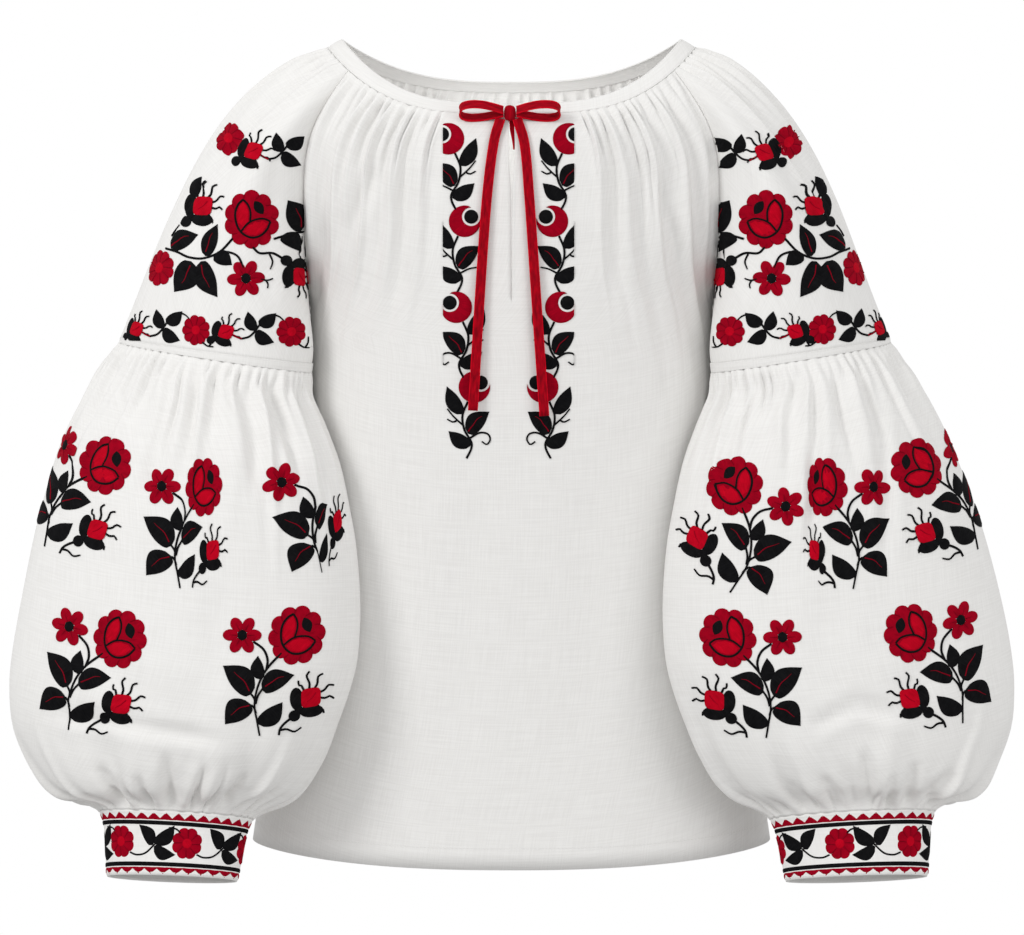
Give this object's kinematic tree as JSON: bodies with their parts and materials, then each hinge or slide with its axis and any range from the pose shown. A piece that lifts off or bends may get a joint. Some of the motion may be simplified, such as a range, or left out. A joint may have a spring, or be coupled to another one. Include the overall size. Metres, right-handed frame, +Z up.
{
  "type": "embroidered blouse",
  "caption": "Peasant blouse with gathered neck, full sleeves on cuffs, flower embroidery and a ribbon tie, filled out hollow.",
  "frame": {"origin": "middle of the neck opening, level with the shoulder part of the neckband, where the blouse is held", "axes": "+Z up, the front of the blouse faces -Y, +X towards the right sleeve as seen from the front"},
  "size_m": [0.7689, 0.2537, 0.6455],
  "materials": {
    "cloth": "matt white linen",
    "ribbon": "crimson velvet ribbon"
  },
  "bodies": {
    "root": {"front": "cloth", "back": "cloth", "neckband": "cloth", "sleeve_upper_left": "cloth", "elbow_band_left": "cloth", "sleeve_lower_left": "cloth", "cuff_left": "cloth", "sleeve_upper_right": "cloth", "elbow_band_right": "cloth", "sleeve_lower_right": "cloth", "cuff_right": "cloth", "bow_knot": "ribbon", "ribbon_inner": "ribbon", "bow_loop_left": "ribbon", "ribbon_tail_left": "ribbon", "bow_loop_right": "ribbon", "ribbon_tail_right": "ribbon"}
  },
  "joints": []
}
